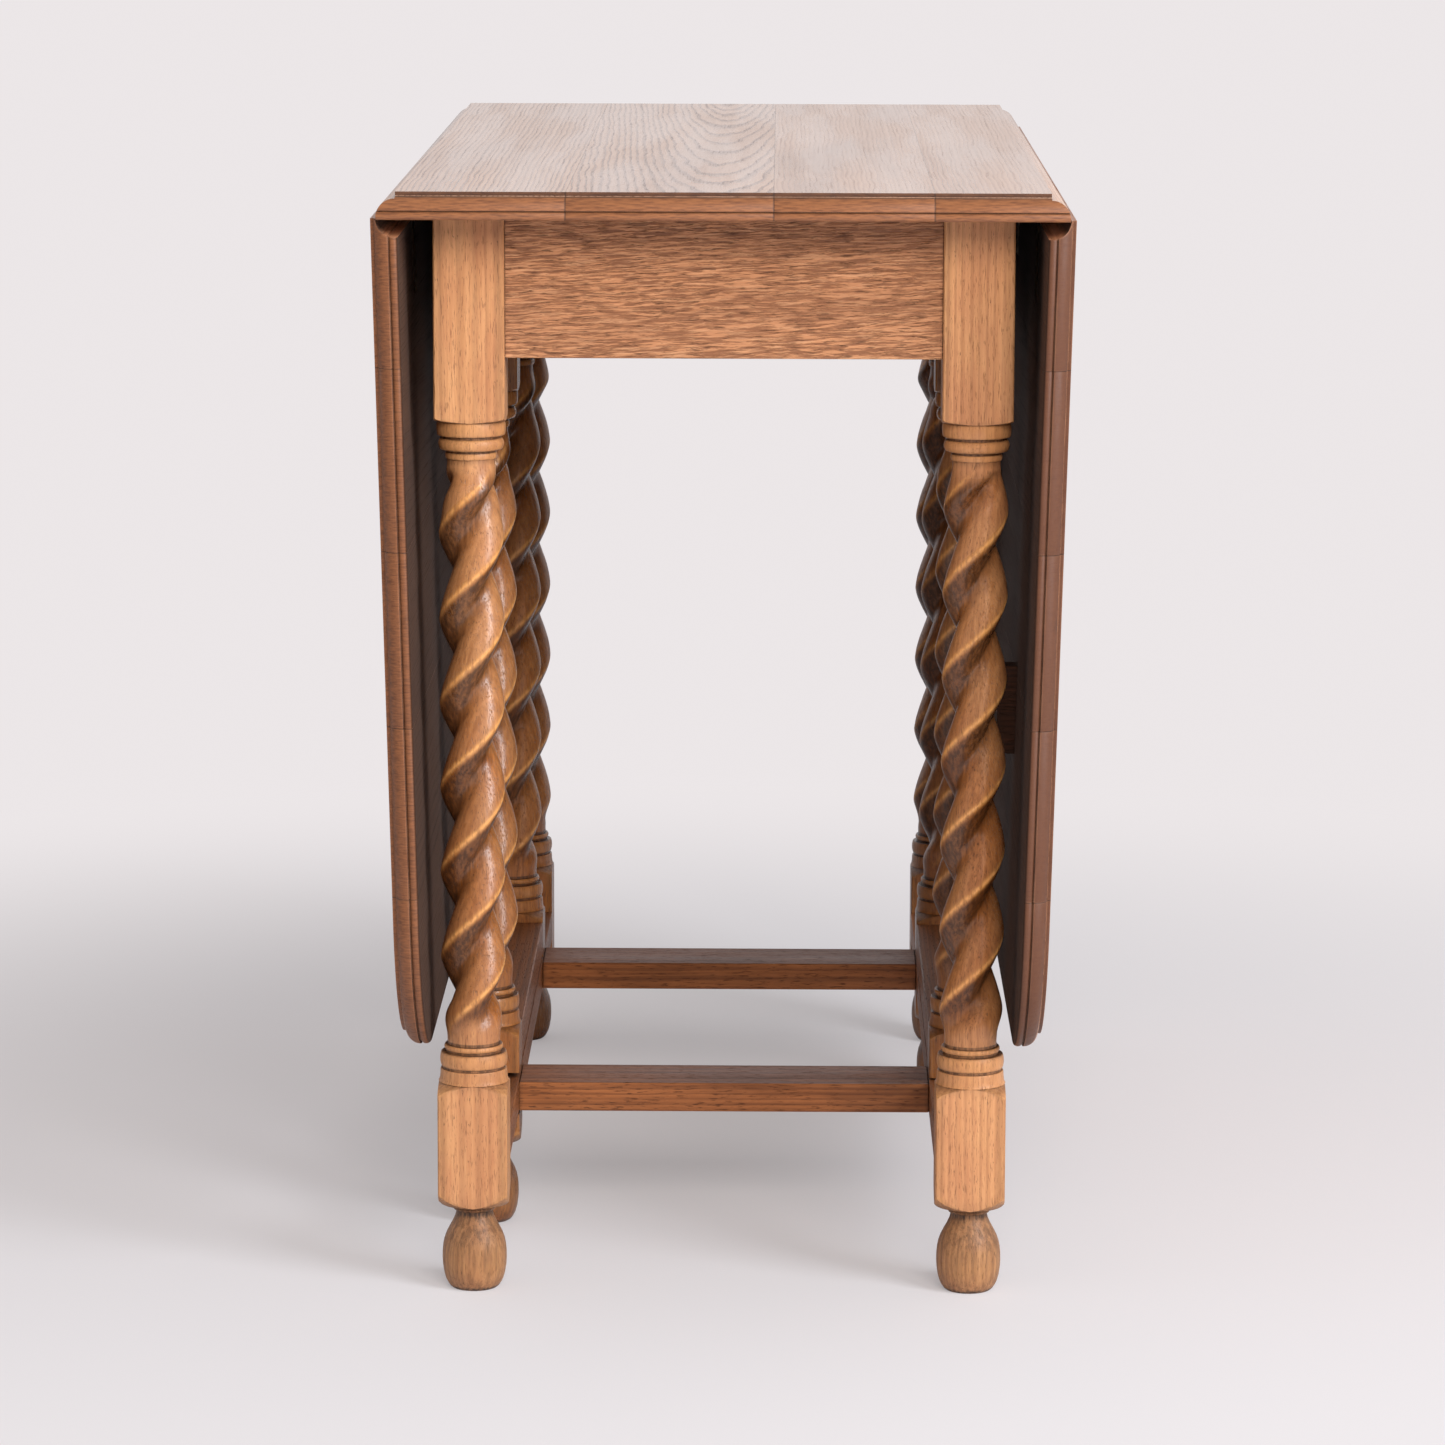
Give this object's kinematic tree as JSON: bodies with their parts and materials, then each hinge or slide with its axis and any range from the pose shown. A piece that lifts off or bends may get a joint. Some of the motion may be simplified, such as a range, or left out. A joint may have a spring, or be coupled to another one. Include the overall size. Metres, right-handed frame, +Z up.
{
  "type": "drop leaf table",
  "caption": "Gate-leg drop leaf table with a narrow fixed top, two hanging round-cornered leaves, twisted turned legs, end aprons and low stretchers.",
  "frame": {"origin": "middle of the table on the floor", "axes": "+Z up; +Y along the length of the table, in line with the hinge pins; +X across it, from the left leaf to the right leaf"},
  "size_m": [0.448, 0.914, 0.735],
  "materials": {
    "top_wood": "polished brown wood",
    "leaf_wood": "polished reddish-brown wood",
    "apron_wood": "polished brown wood",
    "leg_wood": "polished brown wood",
    "stretcher_wood": "polished reddish-brown wood",
    "inner_wood": "plain sawn wood",
    "brass": "dull brass",
    "steel": "plain steel"
  },
  "bodies": {
    "frame": {"apron_back": "apron_wood", "apron_front": "apron_wood", "cross_stretcher_back": "stretcher_wood", "cross_stretcher_front": "stretcher_wood", "glue_block_screws": "steel", "glue_blocks": "inner_wood", "left_fixed_hinge_flaps": "brass", "left_fixed_hinge_screws": "steel", "left_hinge_pins": "brass", "left_pivot_washers": "steel", "left_side_rail": "inner_wood", "left_side_stretcher": "stretcher_wood", "leg_back_left": "leg_wood", "leg_back_right": "leg_wood", "leg_front_left": "leg_wood", "leg_front_right": "leg_wood", "right_fixed_hinge_flaps": "brass", "right_fixed_hinge_screws": "steel", "right_hinge_pins": "brass", "right_pivot_washers": "steel", "right_side_rail": "inner_wood", "right_side_stretcher": "stretcher_wood", "top_board_1": "top_wood", "top_board_2": "top_wood", "top_board_3": "top_wood", "top_board_4": "top_wood"},
    "left_leaf": {"left_leaf_board_1": "leaf_wood", "left_leaf_board_2": "leaf_wood", "left_leaf_board_3": "leaf_wood", "left_leaf_board_4": "leaf_wood", "left_leaf_board_5": "leaf_wood", "left_leaf_hinge_flaps": "brass", "left_leaf_hinge_screws": "steel", "left_leaf_stop_block": "inner_wood", "left_leaf_stop_screws": "steel"},
    "right_leaf": {"right_leaf_board_1": "leaf_wood", "right_leaf_board_2": "leaf_wood", "right_leaf_board_3": "leaf_wood", "right_leaf_board_4": "leaf_wood", "right_leaf_board_5": "leaf_wood", "right_leaf_hinge_flaps": "brass", "right_leaf_hinge_screws": "steel", "right_leaf_stop_block": "inner_wood", "right_leaf_stop_screws": "steel"},
    "left_gate": {"left_gate_leg": "leg_wood", "left_gate_lower_rail": "stretcher_wood", "left_gate_pivot_pins": "steel", "left_gate_pivot_post": "leg_wood", "left_gate_upper_rail": "inner_wood"},
    "right_gate": {"right_gate_leg": "leg_wood", "right_gate_lower_rail": "stretcher_wood", "right_gate_pivot_pins": "steel", "right_gate_pivot_post": "leg_wood", "right_gate_upper_rail": "inner_wood"}
  },
  "joints": [
    {"name": "left_leaf_hinge", "type": "hinge", "parent": "frame", "child": "left_leaf", "pos_m": [-0.208, 0, 0.719], "axis": [0, 1, 0], "range_deg": [0, 91.45]},
    {"name": "right_leaf_hinge", "type": "hinge", "parent": "frame", "child": "right_leaf", "pos_m": [0.208, 0, 0.719], "axis": [0, -1, 0], "range_deg": [0, 91.45]},
    {"name": "left_gate_pivot", "type": "hinge", "parent": "frame", "child": "left_gate", "pos_m": [-0.1645, 0.197, 0.36], "axis": [0, 0, -1], "range_deg": [0, 0.9]},
    {"name": "right_gate_pivot", "type": "hinge", "parent": "frame", "child": "right_gate", "pos_m": [0.1645, -0.197, 0.36], "axis": [0, 0, -1], "range_deg": [0, 0.9]}
  ]
}
